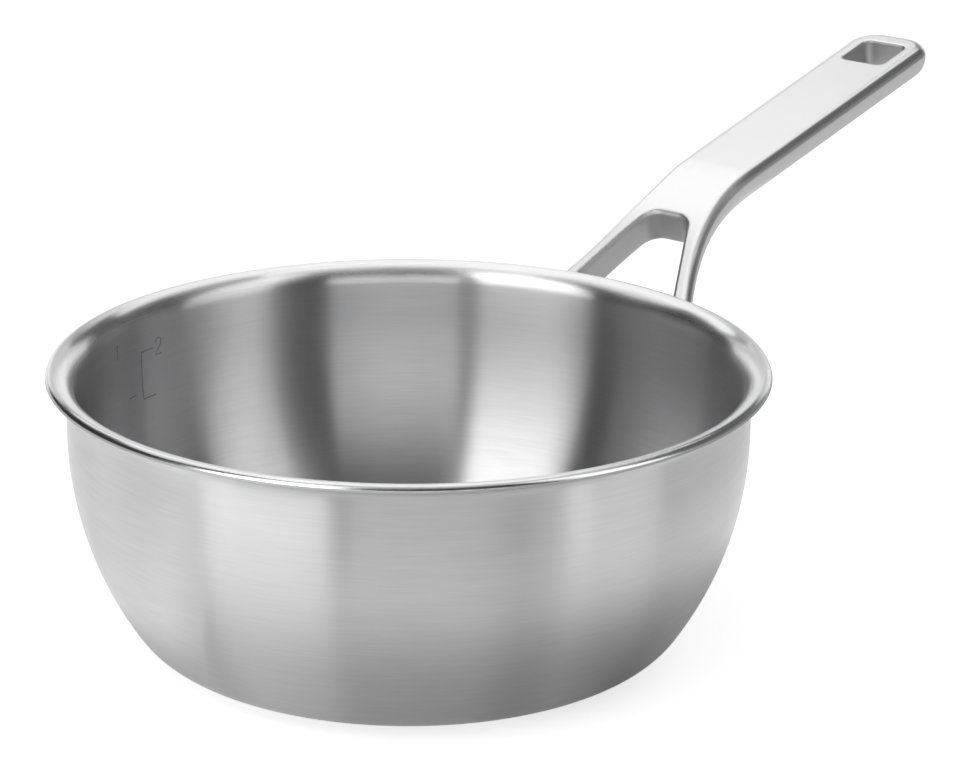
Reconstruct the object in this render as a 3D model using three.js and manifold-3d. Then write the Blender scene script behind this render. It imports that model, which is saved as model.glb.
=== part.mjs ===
// A deep saute pan: three plies pressed together into one flared bowl, with a forked cast handle welded on.
// Millimetres, +Z up. The origin is the centre of the base, where it rests. The handle points along +X.
import * as THREE from "three";
import { mergeVertices } from "three/addons/utils/BufferGeometryUtils.js";
import ManifoldModule from "manifold-3d";

const wasm = await ManifoldModule();
wasm.setup();
const { degToRad } = THREE.MathUtils;

// Bowl: its nominal size, and sizes of its outer surface
const INNER_RADIUS = 100; // inside of the upright wall, half of the pan's nominal size
const BASE_INSET = 34.6; // from the upright wall in to the flat face on the hob
const CORNER_RADIUS = 19.7; // from the base up into the wall
const WALL_BOW_RADIUS = 106.3; // the gentle bow of the wall
const RIM_HEIGHT = 87.2; // top of the pouring rim
const RIM_OVERHANG = 6.1; // how far the rim stands out from the wall
const FLARE_RADIUS = 4; // from the wall out into the rim
const FLARE_ANGLE = degToRad(80); // how far the rim turns out from upright

// Plies, from the inside to the outside, and the bond line between them
const LINER_THICKNESS = 0.5;
const CORE_THICKNESS = 1.2;
const SHELL_THICKNESS = 0.5;
const BOND_GAP = 0.1;

// Handle: where its tip and its feet are, seen from the rim, and how its grip slopes
const TIP_REACH = 174.2; // out from the edge of the rim
const TIP_RISE = 46.1; // top face at the tip, above the rim
const FOOT_DROP = 15.8; // top face at the wall, below the rim
const GRIP_SLOPE = degToRad(10.6);

// Handle side view, measured along the grip from the tip
const BEND_FROM_TIP = 137.6; // where the line of the arms meets the line of the grip
const BEND_SPREAD = 21.3; // length of the bend to each side of that
const HANDLE_THICKNESS = 10.6; // square to the grip
const EDGE_RADIUS = 3.4; // from the top face into the sides
const BELLY_ROUND = 5.6; // how far the sides draw in toward the underside
const FOOT_THICKNESS = 14; // the arms thicken downward to their feet
const FOOT_SWELL = 18; // length of that thickening
const FOOT_FLARE = 3; // how far a foot also spreads outward

// Handle plan view
const GRIP_HALF_WIDTH = 14; // at the neck of the grip
const TIP_HALF_WIDTH = 14.9;
const TIP_CORNER_RADIUS = 10.5;
const NECK_FROM_TIP = 149.7; // where the outer edges of the arms meet those of the grip
const NECK_SPREAD = 20.5;
const ARM_SPREAD = 0.45; // outward run of an arm for each mm toward the pan
const FORK_FROM_TIP = 146.5;
const FORK_HALF_WIDTH = 7.2; // at its upper end
const FORK_TAPER = 0.4; // widening of each side for each mm toward the pan
const FORK_CORNER_RADIUS = 3.6;
const HOLE_FROM_TIP = 8.4;
const HOLE_LENGTH = 17.4;
const HOLE_WIDTH = 16.2;
const HOLE_CORNER_RADIUS = 2.6;

// Welds: two nuggets in each foot
const FOOT_GAP = 0.3; // between a foot and the wall
const WELD_RADIUS = 2;
const WELD_DEPTH = 1.5;
const WELD_PITCH = 5.4;
const WELD_LIFT = 1.2; // the pair sits above the middle of its foot, clear of the round underside
const WELD_CLEARANCE = 0.3;

// Fineness of the round shapes
const TURN_SEGMENTS = 48;
const SIDE_SEGMENTS = 6;

// Straight runs of slope before and after a point, joined by a smooth bend
function bentLine(x, atX, atY, before, after, spread) {
  const dx = x - atX;
  if (dx <= -spread) return atY + before * dx;
  if (dx >= spread) return atY + after * dx;
  return atY + before * dx + ((after - before) * (dx + spread) ** 2) / (4 * spread);
}

// Points of an arc about a centre, from one angle to another, without the first point
function arcPoints(cx, cy, radius, from, to, count) {
  return Array.from({ length: count }, (_, i) => {
    const a = from + ((to - from) * (i + 1)) / count;
    return new THREE.Vector2(cx + radius * Math.cos(a), cy + radius * Math.sin(a));
  });
}

const bowlThickness = LINER_THICKNESS + CORE_THICKNESS + SHELL_THICKNESS + 2 * BOND_GAP;
const neckRadius = INNER_RADIUS + bowlThickness;
const baseRadius = neckRadius - BASE_INSET;
const rimRadius = neckRadius + RIM_OVERHANG;

// The tangent angle at which the corner passes into the bowed wall
const cornerTurn = Math.asin((WALL_BOW_RADIUS - BASE_INSET) / (WALL_BOW_RADIUS - CORNER_RADIUS));
const wallTop = CORNER_RADIUS + (WALL_BOW_RADIUS - CORNER_RADIUS) * Math.cos(cornerTurn);
const lipRun = (RIM_OVERHANG - FLARE_RADIUS * (1 - Math.cos(FLARE_ANGLE))) / Math.sin(FLARE_ANGLE);
const flareStart =
  RIM_HEIGHT -
  bowlThickness * Math.sin(FLARE_ANGLE) -
  lipRun * Math.cos(FLARE_ANGLE) -
  FLARE_RADIUS * Math.sin(FLARE_ANGLE);

// Half section of the surface that lies some way inside the bowl's outer surface, from the axis to the edge
function bowlLine(inside) {
  const wallCentre = neckRadius - WALL_BOW_RADIUS;
  const flareCentre = neckRadius + FLARE_RADIUS;
  const edge = [
    flareCentre - (FLARE_RADIUS + inside) * Math.cos(FLARE_ANGLE) + lipRun * Math.sin(FLARE_ANGLE),
    flareStart + (FLARE_RADIUS + inside) * Math.sin(FLARE_ANGLE) + lipRun * Math.cos(FLARE_ANGLE),
  ];
  const down = -Math.PI / 2;
  return [
    new THREE.Vector2(0, inside),
    new THREE.Vector2(baseRadius, inside),
    ...arcPoints(baseRadius, CORNER_RADIUS, CORNER_RADIUS - inside, down, down + cornerTurn, 4),
    ...arcPoints(wallCentre, wallTop, WALL_BOW_RADIUS - inside, down + cornerTurn, 0, 5),
    new THREE.Vector2(neckRadius - inside, flareStart),
    ...arcPoints(flareCentre, flareStart, FLARE_RADIUS + inside, Math.PI, Math.PI - FLARE_ANGLE, 4),
    new THREE.Vector2(...edge),
  ];
}

// A closed half section turned about the Z axis
function turned(section) {
  return new THREE.LatheGeometry(section, TURN_SEGMENTS).rotateX(Math.PI / 2);
}

function ply(outside, thickness) {
  return turned([...bowlLine(outside), ...bowlLine(outside + thickness).reverse()]);
}

function toSolid(geometry) {
  const bare = new THREE.BufferGeometry();
  bare.setAttribute("position", geometry.getAttribute("position").clone());
  if (geometry.index) bare.setIndex(geometry.index.clone());
  const merged = mergeVertices(bare, 1e-4);
  const index = [];
  for (let i = 0; i < merged.index.count; i += 3) {
    const [a, b, c] = [0, 1, 2].map((k) => merged.index.getX(i + k));
    if (a !== b && b !== c && c !== a) index.push(a, b, c);
  }
  const vertProperties = new Float32Array(merged.getAttribute("position").array);
  const triVerts = new Uint32Array(index);
  return new wasm.Manifold(new wasm.Mesh({ numProp: 3, vertProperties, triVerts }));
}

function toGeometry(solid) {
  const mesh = solid.getMesh();
  const geometry = new THREE.BufferGeometry();
  geometry.setAttribute("position", new THREE.BufferAttribute(new Float32Array(mesh.vertProperties), 3));
  geometry.setIndex(new THREE.BufferAttribute(new Uint32Array(mesh.triVerts), 1));
  geometry.computeVertexNormals();
  return geometry;
}

// The handle's own frame: X along the grip with the tip at 0, Z square to the grip with the top face at 0
const tipHeight = RIM_HEIGHT + TIP_RISE;
const toPan = new THREE.Matrix4().makeRotationY(-GRIP_SLOPE);
toPan.setPosition(rimRadius + TIP_REACH, 0, tipHeight);
const widthGrowth = (TIP_HALF_WIDTH - GRIP_HALF_WIDTH) / NECK_FROM_TIP;
const armHalf = (x) =>
  bentLine(x, -NECK_FROM_TIP, GRIP_HALF_WIDTH, -ARM_SPREAD, widthGrowth, NECK_SPREAD);
const forkHalf = (x) => FORK_HALF_WIDTH + FORK_TAPER * Math.max(0, -FORK_FROM_TIP - x);

// The place along an arm that meets the wall at the height of the feet, the slope that leads there,
// and how an arm swells toward it
const middle = (x, half, up) => new THREE.Vector3(x, (half + forkHalf(x)) / 2, up).applyMatrix4(toPan);
const fromAxis = (point) => Math.hypot(point.x, point.y);
const footHeight = (x) => (-TIP_RISE - FOOT_DROP - x * Math.sin(GRIP_SLOPE)) / Math.cos(GRIP_SLOPE);
let footX = -FORK_FROM_TIP;
while (fromAxis(middle(footX, armHalf(footX), footHeight(footX))) > neckRadius) footX -= 0.01;
const armSlope = footHeight(footX) / (footX + BEND_FROM_TIP);
const topHeight = (x) => bentLine(x, -BEND_FROM_TIP, 0, armSlope, 0, BEND_SPREAD);
const swellStart = footX + FOOT_SWELL;
const swell = (x) => THREE.MathUtils.clamp((swellStart - x) / FOOT_SWELL, 0, 1) ** 2;
const thickness = (x) => HANDLE_THICKNESS + (FOOT_THICKNESS - HANDLE_THICKNESS) * swell(x);
const outerHalf = (x) => armHalf(x) + FOOT_FLARE * swell(x);

// One ring of the handle: a flat top, tight edges and a fuller belly, rounded in plan toward the tip
function handleRing(x) {
  const belly = thickness(x) - EDGE_RADIUS;
  const round = (radius) => (-x < radius ? Math.sqrt(radius ** 2 - (radius + x) ** 2) : radius);
  const shrink = Math.max(round(belly) / belly, 0.3);
  const half = outerHalf(x) - TIP_CORNER_RADIUS + round(TIP_CORNER_RADIUS);
  const side = [];
  for (let i = 0; i <= SIDE_SEGMENTS; i += 1) {
    const a = Math.PI / 2 - (Math.PI * i) / SIDE_SEGMENTS;
    const inset = (a > 0 ? EDGE_RADIUS : BELLY_ROUND) * (1 - Math.cos(a));
    const rise = (a > 0 ? EDGE_RADIUS : belly) * Math.sin(a);
    side.push([x, half - inset * shrink, topHeight(x) - EDGE_RADIUS + rise * shrink]);
  }
  const other = side.map(([along, across, up]) => [along, -across, up]).reverse();
  return [...side, ...other];
}

function handleBlank() {
  const stops = [];
  const spans = [
    [footX - 2 * FOOT_THICKNESS, footX, 2],
    [footX, swellStart, 6],
    [swellStart, -BEND_FROM_TIP - BEND_SPREAD, 2],
    [-BEND_FROM_TIP - BEND_SPREAD, -BEND_FROM_TIP + BEND_SPREAD, 8],
    [-BEND_FROM_TIP + BEND_SPREAD, -TIP_CORNER_RADIUS, 5],
  ];
  for (const [from, to, count] of spans) {
    for (let i = 0; i < count; i += 1) stops.push(from + ((to - from) * i) / count);
  }
  for (let i = 0; i <= SIDE_SEGMENTS; i += 1) {
    stops.push(-TIP_CORNER_RADIUS * (1 - Math.sin((Math.PI / 2) * (i / SIDE_SEGMENTS))));
  }
  const rings = stops.map(handleRing);
  const size = rings[0].length;
  const index = [];
  for (let r = 0; r + 1 < rings.length; r += 1) {
    for (let k = 0; k < size; k += 1) {
      const a = r * size + k;
      const b = r * size + ((k + 1) % size);
      index.push(a, a + size, b, b, a + size, b + size);
    }
  }
  const last = (rings.length - 1) * size;
  for (let k = 1; k + 1 < size; k += 1) {
    index.push(0, k, k + 1);
    index.push(last, last + k + 1, last + k);
  }
  const geometry = new THREE.BufferGeometry();
  geometry.setAttribute("position", new THREE.Float32BufferAttribute(rings.flat(2), 3));
  geometry.setIndex(index);
  return geometry;
}

// A four-sided opening with round corners, cut square to the grip
function opening(from, fromHalf, to, toHalf, corner) {
  const corners = [
    [from, -fromHalf],
    [to, -toHalf],
    [to, toHalf],
    [from, fromHalf],
  ].map(([x, y]) => new THREE.Vector2(x, y));
  const outline = corners.flatMap((point, i) => {
    const before = corners[(i + 3) % 4].clone().sub(point).normalize();
    const after = corners[(i + 1) % 4].clone().sub(point).normalize();
    const cut = corner / Math.tan(Math.acos(before.dot(after)) / 2);
    const start = point.clone().addScaledVector(before, cut);
    const end = point.clone().addScaledVector(after, cut);
    return new THREE.QuadraticBezierCurve(start, point, end).getPoints(5);
  });
  const depth = 2 * tipHeight;
  const prism = new THREE.ExtrudeGeometry(new THREE.Shape(outline), { depth, bevelEnabled: false });
  return toSolid(prism.translate(0, 0, -depth / 2).applyMatrix4(toPan));
}

// Where the middle of an arm, at some depth under its top face, reaches the wall
const wallRadius = (height) =>
  neckRadius - WALL_BOW_RADIUS + Math.sqrt(WALL_BOW_RADIUS ** 2 - Math.max(0, wallTop - height) ** 2);
function footPoint(depth) {
  let x = footX + FOOT_SWELL;
  const point = () => middle(x, outerHalf(x), topHeight(x) - depth);
  while (fromAxis(point()) > wallRadius(point().z)) x -= 0.01;
  return point();
}

// A round nugget or pocket whose axis runs outward from the pan, and its place in a foot
function weldPlace(side, level) {
  const foot = footPoint((FOOT_THICKNESS - level * WELD_PITCH) / 2 - WELD_LIFT);
  const radius = wallRadius(foot.z) + WELD_CLEARANCE + WELD_DEPTH / 2;
  const azimuth = side * Math.atan2(foot.y, foot.x);
  const place = new THREE.Object3D();
  place.position.set(radius * Math.cos(azimuth), radius * Math.sin(azimuth), foot.z);
  place.rotation.set(0, 0, azimuth - Math.PI / 2);
  return place;
}
const weldRound = (extra) =>
  new THREE.CylinderGeometry(WELD_RADIUS + extra, WELD_RADIUS + extra, WELD_DEPTH + 2 * extra, 20);

function handleSolid() {
  const lid = new THREE.Vector2(0, RIM_HEIGHT + FOOT_GAP);
  const filledBowl = toSolid(turned([...bowlLine(-FOOT_GAP), lid]));
  const inBowl = 2 * footX;
  const fork = opening(inBowl, forkHalf(inBowl), -FORK_FROM_TIP, FORK_HALF_WIDTH, FORK_CORNER_RADIUS);
  const holeHalf = HOLE_WIDTH / 2;
  const holeEnd = -HOLE_FROM_TIP - HOLE_LENGTH;
  const hole = opening(holeEnd, holeHalf, -HOLE_FROM_TIP, holeHalf, HOLE_CORNER_RADIUS);
  const blank = toSolid(handleBlank().applyMatrix4(toPan));
  let solid = blank.subtract(filledBowl).subtract(fork).subtract(hole);
  for (const [side, level] of [[1, 1], [1, -1], [-1, 1], [-1, -1]]) {
    const place = weldPlace(side, level);
    place.updateMatrix();
    solid = solid.subtract(toSolid(weldRound(WELD_CLEARANCE).applyMatrix4(place.matrix)));
  }
  return solid;
}

const polishedSteel = { color: 0xc6c8ca, roughness: 0.3, metalness: 1 };
const satinSteel = { color: 0xbcbec0, roughness: 0.36, metalness: 1 };
const castSteel = { color: 0xc9cbcd, roughness: 0.28, metalness: 1 };
const aluminium = { color: 0xd4d6d8, roughness: 0.5, metalness: 1 };
const weldMetal = { color: 0x9a9a9c, roughness: 0.5, metalness: 1 };

function named(name, geometry, finish) {
  const mesh = new THREE.Mesh(geometry, new THREE.MeshStandardMaterial(finish));
  mesh.name = name;
  return mesh;
}

const pan = new THREE.Group();
const bowl = new THREE.Group();
bowl.add(
  named("outer_shell", ply(0, SHELL_THICKNESS), satinSteel),
  named("aluminium_core", ply(SHELL_THICKNESS + BOND_GAP, CORE_THICKNESS), aluminium),
  named("inner_liner", ply(bowlThickness - LINER_THICKNESS, LINER_THICKNESS), polishedSteel),
);
pan.add(bowl, named("handle", toGeometry(handleSolid()), castSteel));
for (const [side, sideName] of [[1, "left"], [-1, "right"]]) {
  for (const [level, levelName] of [[1, "upper"], [-1, "lower"]]) {
    const weld = named(`weld_${sideName}_${levelName}`, weldRound(0), weldMetal);
    const place = weldPlace(side, level);
    weld.position.copy(place.position);
    weld.rotation.copy(place.rotation);
    pan.add(weld);
  }
}

export default pan;
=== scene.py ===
"""The looks of a deep saute pan: brushed bowl with a polished rim, satin cast handle, plain studio.
Lengths are millimetres until a mesh is made, and they repeat the sizes of the part's source."""

import math

import bpy
import numpy as np
from mathutils import Matrix, Vector


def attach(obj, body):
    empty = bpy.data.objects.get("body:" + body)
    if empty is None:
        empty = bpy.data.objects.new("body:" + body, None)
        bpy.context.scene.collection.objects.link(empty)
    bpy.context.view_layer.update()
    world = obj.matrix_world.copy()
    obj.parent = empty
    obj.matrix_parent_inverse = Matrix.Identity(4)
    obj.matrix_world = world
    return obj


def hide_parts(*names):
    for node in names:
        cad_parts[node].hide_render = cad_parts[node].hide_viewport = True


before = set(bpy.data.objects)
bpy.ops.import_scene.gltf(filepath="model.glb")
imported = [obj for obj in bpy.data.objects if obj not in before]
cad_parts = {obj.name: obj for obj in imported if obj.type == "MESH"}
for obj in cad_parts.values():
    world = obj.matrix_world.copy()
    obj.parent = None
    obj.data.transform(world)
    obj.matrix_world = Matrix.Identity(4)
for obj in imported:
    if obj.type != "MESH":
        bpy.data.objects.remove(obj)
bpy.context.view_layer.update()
scene = bpy.context.scene
MM = 0.001

# Bowl
INNER_RADIUS, BASE_INSET, CORNER_RADIUS, WALL_BOW_RADIUS = 100, 34.6, 19.7, 106.3
RIM_HEIGHT, RIM_OVERHANG, FLARE_RADIUS, FLARE_ANGLE = 87.2, 6.1, 4, math.radians(80)
LINER, CORE, SHELL, BOND = 0.5, 1.2, 0.5, 0.1
# The lip: its rounded upper edge, its broken lower edge, and how far up from the lower edge a darker steel
# reaches that paints the shadow line under the lip
LIP_ROUND, LIP_BREAK, LIP_SHADOW_REACH = 2, 0.12, 0.75
# Above the start of the flare: where the polish sets in, where it is full, and how much lighter the polished
# lip's colour is made, a painted sheen
POLISH_START, POLISH_FULL, LIP_SHEEN_GAIN = 2.4, 5.5, 1.34

# Handle
TIP_REACH, TIP_RISE, FOOT_DROP, GRIP_SLOPE = 174.2, 46.1, 15.8, math.radians(10.6)
BEND_FROM_TIP, BEND_SPREAD, HANDLE_THICKNESS = 137.6, 21.3, 10.6
EDGE_RADIUS, BELLY_ROUND = 3.4, 5.6
FOOT_THICKNESS, FOOT_SWELL, FOOT_FLARE = 14, 18, 3
GRIP_HALF, TIP_HALF, TIP_CORNER = 14, 14.9, 10.5
NECK_FROM_TIP, NECK_SPREAD, ARM_SPREAD = 149.7, 20.5, 0.45
FORK_FROM_TIP, FORK_HALF, FORK_TAPER, FORK_CORNER = 146.5, 7.2, 0.4, 3.6
HOLE_FROM_TIP, HOLE_LENGTH, HOLE_WIDTH, HOLE_CORNER = 8.4, 17.4, 16.2, 2.6
FORK_EDGE, HOLE_EDGE = 1.3, 0.7
FORK_SHADE_SHARE, HOLE_SHADE_SHARE = 0.7, 0.5  # share of these rounded edges that takes the rougher, darker steel of the walls inside: a duller finish and painted shade
FOOT_FILLET, FILLET_REACH, FOOT_SINK = 0.9, 3, 0.35  # where a foot meets the wall
BEHIND_FOOT, HALF_SPAN, MARGIN = 24, 44, 2  # room round the handle for the grid it is made on

# Capacity marks on the inside of the wall: strokes as (right, height) points seen from the axis
MARK_TURN, MARK_WIDTH, MARK_RAISE, MARK_STEP = math.radians(94.2), 0.42, 0.05, 1.5
MARK_STROKES = [
    [(0, 72), (0, 56.7)],
    [(0, 72), (5.8, 72)],
    [(0, 56.7), (6.3, 56.7)],
    [(-7.7, 59), (-3.8, 59)],
    [
        (7.1, 73.4), (7.3, 74.3), (8, 74.8), (8.8, 74.8), (9.5, 74.3),
        (9.7, 73.4), (9.3, 72.3), (7, 69.4), (9.9, 69.4),
    ],
    [(-14.6, 77.2), (-13.3, 78.2), (-13.3, 73)],
]

# Camera: turn about the pan from the handle, tilt down, roll, and place of the pan in view
HANDLE_TURN, TILT, ROLL = math.radians(53.9), math.radians(18.604), math.radians(-0.423)
VIEW_DISTANCE, VIEW_RIGHT, VIEW_UP = 1224.01, 22.68, 77.14
FOCAL_PIXELS, IMAGE_WIDTH, SENSOR_WIDTH = 4000, 970, 36

right = Vector((math.cos(HANDLE_TURN), -math.sin(HANDLE_TURN), 0))
ahead = Vector((math.sin(HANDLE_TURN), math.cos(HANDLE_TURN), 0))
forward = ahead * math.cos(TILT) - Vector((0, 0, math.sin(TILT)))
up = ahead * math.sin(TILT) + Vector((0, 0, math.cos(TILT)))


def make_camera():
    data = bpy.data.cameras.new("camera")
    data.sensor_width = SENSOR_WIDTH
    data.sensor_fit = "HORIZONTAL"
    data.lens = SENSOR_WIDTH * FOCAL_PIXELS / IMAGE_WIDTH
    data.clip_end = 50
    camera = bpy.data.objects.new("camera", data)
    scene.collection.objects.link(camera)
    rolled_right = right * math.cos(ROLL) - up * math.sin(ROLL)
    rolled_up = right * math.sin(ROLL) + up * math.cos(ROLL)
    place = (right * VIEW_RIGHT + up * VIEW_UP - forward * VIEW_DISTANCE) * MM
    turn = Matrix((rolled_right, rolled_up, -forward)).transposed().to_4x4()
    camera.matrix_world = Matrix.Translation(place) @ turn
    scene.camera = camera


# Meshes

def mesh_object(name, verts_mm, faces, materials, smooth=True):
    mesh = bpy.data.meshes.new(name)
    mesh.from_pydata((np.asarray(verts_mm, dtype=float) * MM).tolist(), [], faces)
    mesh.validate()
    if smooth:
        mesh.polygons.foreach_set("use_smooth", [True] * len(mesh.polygons))
    for material in materials:
        mesh.materials.append(material)
    obj = bpy.data.objects.new(name, mesh)
    scene.collection.objects.link(obj)
    return obj


thickness = LINER + CORE + SHELL + 2 * BOND
neck = INNER_RADIUS + thickness
base = neck - BASE_INSET
rim = neck + RIM_OVERHANG
corner_turn = math.asin((WALL_BOW_RADIUS - BASE_INSET) / (WALL_BOW_RADIUS - CORNER_RADIUS))
wall_top = CORNER_RADIUS + (WALL_BOW_RADIUS - CORNER_RADIUS) * math.cos(corner_turn)
lip_run = (RIM_OVERHANG - FLARE_RADIUS * (1 - math.cos(FLARE_ANGLE))) / math.sin(FLARE_ANGLE)
flare_start = (
    RIM_HEIGHT
    - thickness * math.sin(FLARE_ANGLE)
    - lip_run * math.cos(FLARE_ANGLE)
    - FLARE_RADIUS * math.sin(FLARE_ANGLE)
)


def arc(cx, cz, radius, start, end, count):
    angles = np.linspace(start, end, count + 1)[1:]
    return [(cx + radius * math.cos(a), cz + radius * math.sin(a)) for a in angles]


def lip_point(inside, run):
    reach = FLARE_RADIUS + inside
    r = neck + FLARE_RADIUS - reach * math.cos(FLARE_ANGLE) + run * math.sin(FLARE_ANGLE)
    return (r, flare_start + reach * math.sin(FLARE_ANGLE) + run * math.cos(FLARE_ANGLE))


def nose_run(inside):
    """How far the lip runs at this depth: its upper edge is well rounded, its lower edge only broken."""
    upper = max(0, inside - thickness + LIP_ROUND)
    lower = max(0, LIP_BREAK - inside)
    drop = LIP_ROUND - math.sqrt(max(0, LIP_ROUND**2 - upper**2))
    return lip_run - drop - LIP_BREAK + math.sqrt(max(0, LIP_BREAK**2 - lower**2))


def bowl_line(inside):
    """Half section of the surface this far inside the bowl's outer surface, up to the flared lip."""
    down = -math.pi / 2
    line = [(r, inside) for r in np.linspace(0, base, 9)]
    line += arc(base, CORNER_RADIUS, CORNER_RADIUS - inside, down, down + corner_turn, 14)
    line += arc(neck - WALL_BOW_RADIUS, wall_top, WALL_BOW_RADIUS - inside, down + corner_turn, 0, 24)
    line += [(neck - inside, z) for z in np.linspace(wall_top, flare_start, 5)[1:]]
    line += arc(neck + FLARE_RADIUS, flare_start, FLARE_RADIUS + inside, math.pi, math.pi - FLARE_ANGLE, 14)
    return line


def ply(name, outside, inside, materials, turns=288):
    """One closed layer of the bowl, its edge part of the lip. The lowest rows of the lip's edge take the last
    material, a darker steel that paints the shadow line under the lip.
    """
    steps = np.linspace(0, 1, 16)
    depths = outside + (inside - outside) * np.sin(steps * math.pi / 2)
    nose = [lip_point(s, nose_run(s)) for s in depths]
    section = bowl_line(outside) + nose + bowl_line(inside)[::-1]
    count = len(section)
    angles = np.linspace(0, 2 * math.pi, turns, endpoint=False)
    verts = [(0, 0, outside)]
    for r, z in section[1:-1]:
        verts += [(r * math.cos(a), r * math.sin(a), z) for a in angles]
    verts.append((0, 0, inside))
    last = len(verts) - 1
    faces, finish = [], []
    first = len(bowl_line(outside)) - 1
    # The lowest rows of the lip's edge get the darker steel: a painted shadow line under the lip
    shadowed_rows = range(first, first + int(np.sum(depths < LIP_SHADOW_REACH)))
    for row in range(count - 3):
        for k in range(turns):
            a, b = 1 + row * turns + k, 1 + row * turns + (k + 1) % turns
            faces.append((a, b, b + turns, a + turns))
            finish.append(len(materials) - 1 if row in shadowed_rows else 0)
    for k in range(turns):
        faces.append((0, 1 + (k + 1) % turns, 1 + k))
        top = last - turns
        faces.append((last, top + k, top + (k + 1) % turns))
        finish += [0, 0]
    obj = mesh_object(name, verts, faces, materials)
    obj.data.polygons.foreach_set("material_index", finish)
    return obj


def inner_wall(z):
    """Radius of the bowl's inside at a height on the bowed wall."""
    return neck - WALL_BOW_RADIUS + math.sqrt((WALL_BOW_RADIUS - thickness) ** 2 - max(0, wall_top - z) ** 2)


def make_marks(materials):
    """Each stroke is a thin bar that follows the wall and stands a hair out of it."""
    verts, faces = [], []
    for stroke in MARK_STROKES:
        line = [np.array(stroke[0], dtype=float)]
        for a, b in zip(stroke, stroke[1:]):
            a, b = np.array(a, dtype=float), np.array(b, dtype=float)
            count = math.ceil(np.hypot(*(b - a)) / MARK_STEP)
            line += [a + (b - a) * k / count for k in range(1, count + 1)]
        first = len(verts)
        for i, spot in enumerate(line):
            way = line[min(i + 1, len(line) - 1)] - line[max(i - 1, 0)]
            across = np.array((-way[1], way[0])) / np.hypot(*way) * MARK_WIDTH / 2
            for side, raise_by in ((1, -MARK_RAISE), (-1, -MARK_RAISE), (-1, MARK_RAISE), (1, MARK_RAISE)):
                u, z = spot + side * across
                r, turn = inner_wall(z) - raise_by, MARK_TURN - u / INNER_RADIUS
                verts.append((r * math.cos(turn), r * math.sin(turn), z))
        for i in range(len(line) - 1):
            for k in range(4):
                a, b = first + 4 * i + k, first + 4 * i + (k + 1) % 4
                faces.append((a, a + 4, b + 4, b))
        last = first + 4 * (len(line) - 1)
        faces += [(first, first + 1, first + 2, first + 3), (last + 3, last + 2, last + 1, last)]
    return mesh_object("capacity_marks", verts, faces, materials, smooth=False)


# Handle, in its own frame: X along the grip with the tip at 0, Z square to the grip with the top face at 0

def bent_line(x, at_x, at_y, before, after, spread):
    dx = x - at_x
    bend = at_y + before * dx + (after - before) * (dx + spread) ** 2 / (4 * spread)
    return np.where(dx <= -spread, at_y + before * dx, np.where(dx >= spread, at_y + after * dx, bend))


def to_pan(x, y, z):
    c, s = math.cos(GRIP_SLOPE), math.sin(GRIP_SLOPE)
    return rim + TIP_REACH + x * c - z * s, y, RIM_HEIGHT + TIP_RISE + x * s + z * c


def arm_half(x):
    growth = (TIP_HALF - GRIP_HALF) / NECK_FROM_TIP
    return bent_line(x, -NECK_FROM_TIP, GRIP_HALF, -ARM_SPREAD, growth, NECK_SPREAD)


def fork_half(x):
    return FORK_HALF + FORK_TAPER * np.maximum(0, -FORK_FROM_TIP - x)


def find_foot():
    """Where the middle of an arm meets the wall at the height of the feet, and the slope that leads there."""
    x = np.arange(-FORK_FROM_TIP, -2 * FORK_FROM_TIP, -0.01)
    z = (-TIP_RISE - FOOT_DROP - x * math.sin(GRIP_SLOPE)) / math.cos(GRIP_SLOPE)
    px, py, _ = to_pan(x, (arm_half(x) + fork_half(x)) / 2, z)
    at = np.argmax(np.hypot(px, py) <= neck)
    return x[at], z[at] / (x[at] + BEND_FROM_TIP)


foot_x, arm_slope = find_foot()


def top_height(x):
    return bent_line(x, -BEND_FROM_TIP, 0, arm_slope, 0, BEND_SPREAD)


def wall_radius(z):
    return neck - WALL_BOW_RADIUS + np.sqrt(WALL_BOW_RADIUS**2 - np.maximum(0, wall_top - z) ** 2)


def both(a, b, radius):
    """Inside of both shapes, with the edge between them rounded. Below zero is inside."""
    rounded = np.hypot(np.maximum(a + radius, 0), np.maximum(b + radius, 0)) - radius
    return np.where(np.maximum(a, b) <= -radius, np.maximum(a, b), rounded)


def openings(x, y):
    """Distances from the fork and from the hanging hole in plan, below zero in them."""
    side = (y - FORK_HALF + FORK_TAPER * (FORK_FROM_TIP + x)) / math.hypot(1, FORK_TAPER)
    fork = both(x + FORK_FROM_TIP, side, FORK_CORNER)
    middle = -HOLE_FROM_TIP - HOLE_LENGTH / 2
    hole = both(np.abs(x - middle) - HOLE_LENGTH / 2, y - HOLE_WIDTH / 2, HOLE_CORNER)
    return fork, hole


def handle_field(p):
    """Below zero inside the metal of the handle, about a distance near its surface."""
    x, y, z = p[..., 0], np.abs(p[..., 1]), p[..., 2]
    swell = np.clip((foot_x + FOOT_SWELL - x) / FOOT_SWELL, 0, 1) ** 2
    belly = HANDLE_THICKNESS + (FOOT_THICKNESS - HANDLE_THICKNESS) * swell - EDGE_RADIUS
    half = arm_half(x) + FOOT_FLARE * swell
    under = z - top_height(x)
    slope = (top_height(x + 0.05) - top_height(x - 0.05)) / 0.1
    edge = both(y - half, x, TIP_CORNER)
    top = both(under / np.sqrt(1 + slope**2), edge, EDGE_RADIUS)
    u, v = 1 + edge / BELLY_ROUND, (-EDGE_RADIUS - under) / belly
    low = np.where(np.maximum(u, v) < 0, np.maximum(u, v), np.hypot(np.maximum(u, 0), np.maximum(v, 0))) - 1
    body = np.maximum(top, low * BELLY_ROUND)
    fork, hole = openings(x, y)
    body = both(both(body, -fork, FORK_EDGE), -hole, HOLE_EDGE)
    px, py, pz = to_pan(x, y, z)
    off_wall = np.hypot(px, py) - wall_radius(pz)
    body = body - FOOT_FILLET * np.clip(1 - off_wall / FILLET_REACH, 0, 1) ** 2
    return np.maximum(body, -FOOT_SINK - off_wall)


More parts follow.
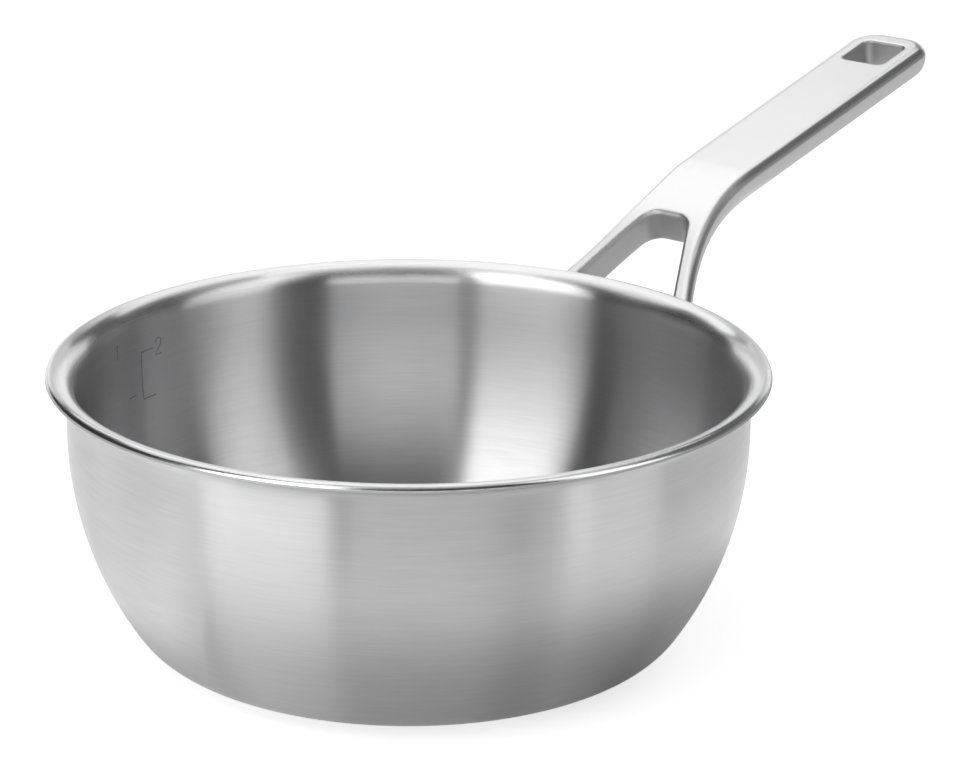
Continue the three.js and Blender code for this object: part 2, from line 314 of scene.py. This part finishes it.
def surface_net(values):
    """Quads round the region of a grid below zero, with one vertex in each cell that the surface crosses."""
    inside = values < 0
    corners = [(i, j, k) for i in (0, 1) for j in (0, 1) for k in (0, 1)]
    size = [n - 1 for n in values.shape]
    total = sum(inside[i : i + size[0], j : j + size[1], k : k + size[2]].astype(int) for i, j, k in corners)
    cells = np.argwhere((total > 0) & (total < 8))
    number = np.full(size, -1)
    number[tuple(cells.T)] = np.arange(len(cells))
    place, hits = np.zeros((len(cells), 3)), np.zeros(len(cells))
    for a in corners:
        for axis in range(3):
            if a[axis]:
                continue
            b = np.array(a)
            b[axis] = 1
            va, vb = values[tuple((cells + a).T)], values[tuple((cells + b).T)]
            cross = (va < 0) != (vb < 0)
            t = va[cross] / (va[cross] - vb[cross])
            place[cross] += np.array(a) + t[:, None] * (b - np.array(a))
            hits[cross] += 1
    verts = cells + place / hits[:, None]
    faces = []
    for axis in range(3):
        ahead_of = np.roll(inside, -1, axis)
        change = inside != ahead_of
        change[tuple(slice(-1, None) if d == axis else slice(None) for d in range(3))] = False
        edges = np.argwhere(change)
        e, f = np.eye(3, dtype=int)[(axis + 1) % 3], np.eye(3, dtype=int)[(axis + 2) % 3]
        quad = np.stack([number[tuple((edges - s).T)] for s in (0 * e, e, e + f, f)], axis=1)
        out = ~inside[tuple(edges.T)]
        quad[out] = quad[out][:, ::-1]
        faces.append(quad)
    return verts, np.concatenate(faces)


def slope_of(field, p, step=0.02):
    parts = []
    for axis in np.eye(3) * step:
        parts.append((field(p + axis) - field(p - axis)) / (2 * step))
    return np.stack(parts, axis=1)


def settle(field, p, rounds, least_slope=0.05, longest_step=0.4):
    """Moves points onto the surface."""
    for _ in range(rounds):
        g = slope_of(field, p)
        step = field(p)[:, None] * g / np.maximum((g**2).sum(1), least_slope)[:, None]
        p = p - np.clip(step, -longest_step, longest_step)
    return p


def make_handle(materials):
    """The handle as a net of quads on its surface, evened out while it stays there."""
    pitch = 0.5
    xs = np.arange(foot_x - BEHIND_FOOT, MARGIN, pitch)
    ys = np.arange(-HALF_SPAN - pitch / 2, HALF_SPAN + 1, pitch)
    ws = np.arange(-FOOT_THICKNESS - 2 * MARGIN, MARGIN, pitch)
    values = np.empty((len(xs), len(ys), len(ws)), dtype=np.float32)
    for i, x in enumerate(xs):
        y, w = np.meshgrid(ys, ws, indexing="ij")
        values[i] = handle_field(np.stack([np.full_like(y, x), y, w + top_height(x)], axis=-1))
    verts, faces = surface_net(values)
    p = np.array((xs[0], ys[0], ws[0])) + verts * pitch
    p[:, 2] += top_height(p[:, 0])
    p = settle(handle_field, p, 3)
    ends = np.concatenate([faces[:, [0, 1]], faces[:, [1, 2]], faces[:, [2, 3]], faces[:, [3, 0]]])
    for _ in range(4):
        mean, count = np.zeros_like(p), np.zeros(len(p))
        np.add.at(mean, ends[:, 0], p[ends[:, 1]])
        np.add.at(count, ends[:, 0], 1)
        p = settle(handle_field, 0.5 * p + 0.5 * mean / count[:, None], 2)
    p = settle(handle_field, p, 2)
    obj = mesh_object("handle_casting", np.stack(to_pan(*p.T), axis=1), faces.tolist(), materials)
    # Walls inside the fork and the hanging hole, with part of their rounded edges, take the rougher, darker
    # steel: the roughness is a duller finish, the darker tone is painted shade in these openings
    centre = p[faces].mean(axis=1)
    fork, hole = openings(centre[:, 0], np.abs(centre[:, 1]))
    near = np.minimum(fork - FORK_SHADE_SHARE * FORK_EDGE, hole - HOLE_SHADE_SHARE * HOLE_EDGE) < 0
    obj.data.polygons.foreach_set("material_index", near.astype(np.int32))
    return obj


# Materials. Brush marks: how fast they change round the pan and from ring to ring
FINE_BRUSH, COARSE_BRUSH = (6.0, 2600.0), (3.0, 700.0)


class Nodes:
    """Short ways to add nodes and join them."""

    def __init__(self, material):
        material.use_nodes = True
        self.tree = material.node_tree
        self.tree.nodes.clear()

    def add(self, kind, inputs=None, **settings):
        node = self.tree.nodes.new(kind)
        for key, value in settings.items():
            setattr(node, key, value)
        for key, value in (inputs or {}).items():
            if isinstance(value, bpy.types.NodeSocket):
                self.tree.links.new(value, node.inputs[key])
            else:
                node.inputs[key].default_value = value
        return node

    def math(self, operation, a, b=0.0):
        return self.add("ShaderNodeMath", {0: a, 1: b}, operation=operation).outputs[0]

    def vector(self, operation, a, b=(0, 0, 0)):
        return self.add("ShaderNodeVectorMath", {0: a, 1: b}, operation=operation).outputs[0]

    def noise(self, vector, scale, detail=2.0, roughness=0.5):
        inputs = {"Vector": vector, "Scale": scale, "Detail": detail, "Roughness": roughness}
        return self.add("ShaderNodeTexNoise", inputs).outputs[0]

    def spread(self, value, low, high, start=0.3, end=0.7):
        inputs = {0: value, 1: start, 2: end, 3: low, 4: high}
        return self.add("ShaderNodeMapRange", inputs).outputs[0]


def around_axis(n, along, across):
    """Coordinates that change slowly round the pan's axis and fast from ring to ring."""
    place = n.add("ShaderNodeTexCoord").outputs["Object"]
    flat = n.vector("MULTIPLY", place, (1, 1, 0))
    unit = n.vector("NORMALIZE", flat)
    length = n.add("ShaderNodeVectorMath", {0: flat}, operation="LENGTH").outputs["Value"]
    xyz = n.add("ShaderNodeSeparateXYZ", {0: place})
    ring = n.math("MULTIPLY", n.math("SUBTRACT", xyz.outputs[2], length), across)
    ways = n.add("ShaderNodeSeparateXYZ", {0: unit})
    x = n.math("MULTIPLY", ways.outputs[0], along)
    y = n.math("MULTIPLY", ways.outputs[1], along)
    return n.add("ShaderNodeCombineXYZ", {0: x, 1: y, 2: ring}).outputs[0], place


def steel(name, tone, rough, anisotropy, lines, bump, vary=0.05, lip_rough=None):
    """Steel brushed round the pan's axis, and polished toward the lip where a roughness is given for that.
    There its colour is also made lighter, a painted sheen.
    """
    material = bpy.data.materials.new(name)
    n = Nodes(material)
    fine, place = around_axis(n, *FINE_BRUSH)
    coarse, _ = around_axis(n, *COARSE_BRUSH)
    streaks = n.noise(fine, 1.0, 3.0, 0.6)
    bands = n.noise(coarse, 1.0, 2.0, 0.5)
    cloud = n.noise(place, 14.0, 2.0)
    mixed = n.math("ADD", n.math("MULTIPLY", streaks, 0.75), n.math("MULTIPLY", bands, 0.25))
    level = n.math("MULTIPLY", n.spread(mixed, 1 - lines, 1 + lines), n.spread(cloud, 0.985, 1.015))
    roughness = n.spread(mixed, rough + vary, rough - vary)
    if lip_rough:
        height = n.add("ShaderNodeSeparateXYZ", {0: place}).outputs[2]
        span = (flare_start + POLISH_START) * MM, (flare_start + POLISH_FULL) * MM
        roughness = n.math("MULTIPLY", roughness, n.spread(height, 1.0, lip_rough / rough, *span))
        # The polished lip's colour is made lighter: a painted sheen on top of its real lower roughness
        level = n.math("MULTIPLY", level, n.spread(height, 1.0, LIP_SHEEN_GAIN, *span))
    colour = n.add("ShaderNodeVectorMath", {0: tone, "Scale": level}, operation="SCALE").outputs[0]
    inputs = {"Base Color": colour, "Metallic": 1.0, "Roughness": roughness}
    if anisotropy:
        inputs["Anisotropic"] = anisotropy
        inputs["Anisotropic Rotation"] = 0.25
        inputs["Tangent"] = n.add("ShaderNodeTangent", direction_type="RADIAL", axis="Z").outputs[0]
    if bump:
        inputs["Normal"] = n.add(
            "ShaderNodeBump", {"Strength": bump, "Distance": 0.00005, "Height": streaks}
        ).outputs[0]
    shader = n.add("ShaderNodeBsdfPrincipled", inputs)
    n.add("ShaderNodeOutputMaterial", {0: shader.outputs[0]})
    return material


def cast_steel(name, tone, rough, vary=0.008):
    """Steel ground along the grip to a fine satin."""
    material = bpy.data.materials.new(name)
    n = Nodes(material)
    place = n.add("ShaderNodeTexCoord").outputs["Object"]
    long = n.vector("MULTIPLY", place, (60, 900, 900))
    grind = n.noise(long, 1.0, 3.0, 0.6)
    cloud = n.noise(place, 40.0, 2.0)
    mixed = n.math("ADD", n.math("MULTIPLY", grind, 0.7), n.math("MULTIPLY", cloud, 0.3))
    level = n.spread(mixed, 0.985, 1.015)
    colour = n.add("ShaderNodeVectorMath", {0: tone, "Scale": level}, operation="SCALE").outputs[0]
    roughness = n.spread(mixed, rough + vary, rough - vary)
    inputs = {"Base Color": colour, "Metallic": 1.0, "Roughness": roughness}
    shader = n.add("ShaderNodeBsdfPrincipled", inputs)
    n.add("ShaderNodeOutputMaterial", {0: shader.outputs[0]})
    return material


def glow(name):
    material = bpy.data.materials.new(name)
    n = Nodes(material)
    strength = n.add("ShaderNodeAttribute", attribute_name="strength").outputs["Fac"]
    shader = n.add("ShaderNodeEmission", {"Color": (1, 1, 1, 1), "Strength": strength})
    n.add("ShaderNodeOutputMaterial", {0: shader.outputs[0]})
    return material


# Studio: directions are degrees right of the way from the pan to the camera, and degrees above the floor
FLOOR_DROP, FLOOR_CARD_DROP, FLOOR_REACH = 0.2, 0.1, 6000
LAMP_SIZE, LAMP_DISTANCE, LAMP_POWER = 1.2, 1.6, 5  # metres and watts
MATT_LIGHT = 0.5  # what the surroundings give to matt surfaces


def toward(turn, lift):
    turn, lift = math.radians(turn), math.radians(lift)
    flat = right * math.sin(turn) - ahead * math.cos(turn)
    return flat * math.cos(lift) + Vector((0, 0, math.sin(lift)))


def panel(name, rows, strengths):
    """A soft light or a dark flag that only the metal sees. Its strengths run along its columns."""
    across = len(rows[0])
    faces = []
    for j in range(len(rows) - 1):
        for i in range(across - 1):
            a = j * across + i
            faces.append((a, a + 1, a + across + 1, a + across))
    obj = mesh_object(name, [v for row in rows for v in row], faces, [glow(name)])
    levels = np.interp(np.linspace(0, 1, across), np.linspace(0, 1, len(strengths)), strengths)
    strength = obj.data.attributes.new("strength", "FLOAT", "POINT")
    strength.data.foreach_set("value", np.tile(levels, len(rows)))
    obj.visible_camera = False
    obj.visible_diffuse = False
    obj.visible_shadow = False
    obj.visible_transmission = False
    return obj


def card(name, turns, lifts, *strengths, distance=2400, steps=12):
    turns, lifts = np.linspace(*turns, steps + 1), np.linspace(*lifts, steps + 1)
    return panel(name, [[toward(t, l) * distance for t in turns] for l in lifts], strengths)


def floor_card(name, turns, reaches, *strengths, steps=24):
    down = Vector((0, 0, -FLOOR_CARD_DROP))
    turns, reaches = np.linspace(*turns, steps + 1), np.linspace(*reaches, 3).tolist()
    return panel(name, [[toward(t, 0) * r + down for t in turns] for r in reaches], strengths)


def seen(n):
    """1 for what the camera, the metal or glass sees, 0 for light that falls on matt surfaces."""
    path = n.add("ShaderNodeLightPath")
    rays = n.math("ADD", path.outputs["Is Camera Ray"], path.outputs["Is Glossy Ray"])
    rays = n.math("ADD", rays, path.outputs["Is Transmission Ray"])
    return n.math("MINIMUM", rays, 1.0)


def make_floor(own_light=0.66, steps=12):
    grid = np.linspace(-FLOOR_REACH, FLOOR_REACH, steps + 1)
    verts = [(x, y, -FLOOR_DROP) for y in grid for x in grid]
    faces = []
    for j in range(steps):
        for i in range(steps):
            a = j * (steps + 1) + i
            faces.append((a, a + 1, a + steps + 2, a + steps + 1))
    material = bpy.data.materials.new("floor_paper")
    n = Nodes(material)
    place = n.add("ShaderNodeTexCoord").outputs["Object"]
    tone = n.spread(n.noise(place, 3.0), 0.8, 0.82)
    paper = n.add("ShaderNodeBsdfDiffuse", {"Color": tone})
    light = n.add("ShaderNodeEmission", {"Strength": n.math("MULTIPLY", seen(n), own_light)})
    both_shaders = n.add("ShaderNodeAddShader", {0: paper.outputs[0], 1: light.outputs[0]})
    n.add("ShaderNodeOutputMaterial", {0: both_shaders.outputs[0]})
    floor = mesh_object("floor", verts, faces, [material], smooth=False)
    return floor


def make_world():
    world = bpy.data.worlds.new("studio")
    scene.world = world
    n = Nodes(world)
    strength = n.add("ShaderNodeMapRange", {0: seen(n), 1: 0.0, 2: 1.0, 3: MATT_LIGHT, 4: 1.0}).outputs[0]
    light = n.add("ShaderNodeBackground", {"Color": (1, 1, 1, 1), "Strength": strength})
    n.add("ShaderNodeOutputWorld", {0: light.outputs[0]})


def make_lamp():
    data = bpy.data.lights.new("top_light", "AREA")
    data.shape = "RECTANGLE"
    data.size, data.size_y = LAMP_SIZE, LAMP_SIZE
    data.energy = LAMP_POWER
    lamp = bpy.data.objects.new("top_light", data)
    lamp.location = toward(-50, 65) * LAMP_DISTANCE
    lamp.rotation_euler = (-Vector(lamp.location)).to_track_quat("-Z", "Y").to_euler()
    lamp.visible_glossy = False
    lamp.visible_camera = False
    scene.collection.objects.link(lamp)


make_camera()
satin_out = steel("satin_steel", (0.62, 0.62, 0.625), 0.33, 1.0, 0.045, 0.015, 0.02)
satin_in = steel("satin_liner", (0.59, 0.59, 0.595), 0.3, 1.0, 0.05, 0.015, 0.015, lip_rough=0.2)
# Darker steel for the lowest rows of the lip's edge: a painted shadow line under the lip
lip_shadow_steel = steel("lip_shadow_steel", (0.42, 0.42, 0.425), 0.45, 0, 0.06, 0.0, 0.03)
etched = steel("etched_marks", (0.3, 0.3, 0.305), 0.5, 0, 0.1, 0.0, 0.03)
aluminium = steel("aluminium", (0.78, 0.785, 0.79), 0.22, 0, 0.03, 0.0)
handle_metal = cast_steel("satin_casting", (0.8, 0.8, 0.805), 0.26)
# Rougher, darker steel for the walls inside the openings: a duller finish, and painted shade in its darker
# tone
opening_shade_steel = cast_steel("opening_shade_casting", (0.44, 0.44, 0.445), 0.5)
weld_metal = cast_steel("weld_metal", (0.45, 0.45, 0.46), 0.5)

shell = ply("bowl_shell", 0, SHELL + BOND / 2, [satin_out, lip_shadow_steel])
core = ply("bowl_core", SHELL + BOND / 2, thickness - LINER - BOND / 2, [aluminium, lip_shadow_steel])
liner = ply("bowl_liner", thickness - LINER - BOND / 2, thickness, [satin_in])
handle = make_handle([handle_metal, opening_shade_steel])
marks = make_marks([etched])
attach(marks, "root")
for piece, node, slot in (
    (shell, "outer_shell", "shell_steel"),
    (core, "aluminium_core", "core_aluminium"),
    (liner, "inner_liner", "liner_steel"),
    (handle, "handle", "cast_steel"),
):
    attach(piece, "root")
    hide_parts(node)
for name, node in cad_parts.items():
    if name.startswith("weld"):
        node.data.materials.clear()
        node.data.materials.append(weld_metal)

make_floor()
make_world()
make_lamp()

# Lights and flags: name, from and to turn, from and to lift, strengths along the turn
CARDS = [
    ("left_softbox", (-67, -24), (0, 30), 2.6),
    ("left_softbox_mid", (-67, -24), (30, 45), 3.8),
    ("left_softbox_top", (-67, -24), (45, 66), 1.6),
    ("left_flag", (-145, -67), (0, 42), 0.02),
    ("left_flag_top", (-100, -67), (42, 66), 0.02),
    ("left_top", (-145, -100), (42, 66), 1.0),
    ("left_gap", (-24, -17), (0, 62), 0.25),
    ("front_low", (-17, 30), (0, 8), 0.1),
    ("front_fill", (-17, 30), (8, 22), 3.8),
    ("front_flag", (-17, 30), (22, 62), 0.03),
    ("right_gap", (30, 52), (0, 66), 0.02),
    ("right_softbox", (52, 88), (0, 66), 1.4),
    ("right_low", (88, 145), (0, 20), 0.2),
    ("right_flag", (88, 145), (20, 50), 0.1),
    ("right_flag_top", (88, 145), (50, 66), 0.3),
    ("back_low", (145, 215), (18, 24), 0.65),
    ("back_gap", (145, 172), (24, 38), 0.12),
    ("back_gap_left", (172, 215), (25, 29), 0.3),
    ("back_softbox_right", (145, 172), (38, 66), 1.1),
    ("back_softbox_left", (172, 215), (29, 66), 1.25),
    ("top_front", (-24, 30), (62, 90), 0.4),
    ("top_back", (110, 255), (66, 90), 1.2),
    ("top_left", (-105, -24), (66, 90), 0.6),
    ("top_right", (30, 110), (66, 90), 0.6),
]
for settings in CARDS:
    card(*settings)

# The same on the floor, with distances from the pan's axis for the lifts
FLOOR_CARDS = [
    ("floor_shade", (-50, 50), (60, 138), 0.66, 0.47, 0.36, 0.32, 0.16),
    ("floor_shade_right", (50, 180), (60, 138), 0.16, 0.33, 0.32, 0.42, 0.55),
    ("floor_shade_left", (-180, -50), (60, 100), 0.6, 0.62),
    ("floor_near_left", (-110, -50), (100, 225), 1.05, 1.15, 1.2, 1.3, 0.95),
    ("floor_left", (-180, -110), (100, 2400), 1.0, 1.2),
    ("floor_mid_left", (-110, -50), (225, 2400), 1.4, 1.4, 1.38, 1.6, 0.75),
    ("floor_front", (-50, 27), (225, 2400), 0.55, 0.33, 0.2, 0.1, 0.02),
    ("floor_gap", (27, 56), (170, 2400), 0.8, 1.15),
    ("floor_right", (56, 180), (330, 2400), 0.1, 0.55, 0.55, 0.55),
]
for settings in FLOOR_CARDS:
    floor_card(*settings)

scene.view_settings.view_transform = "Standard"
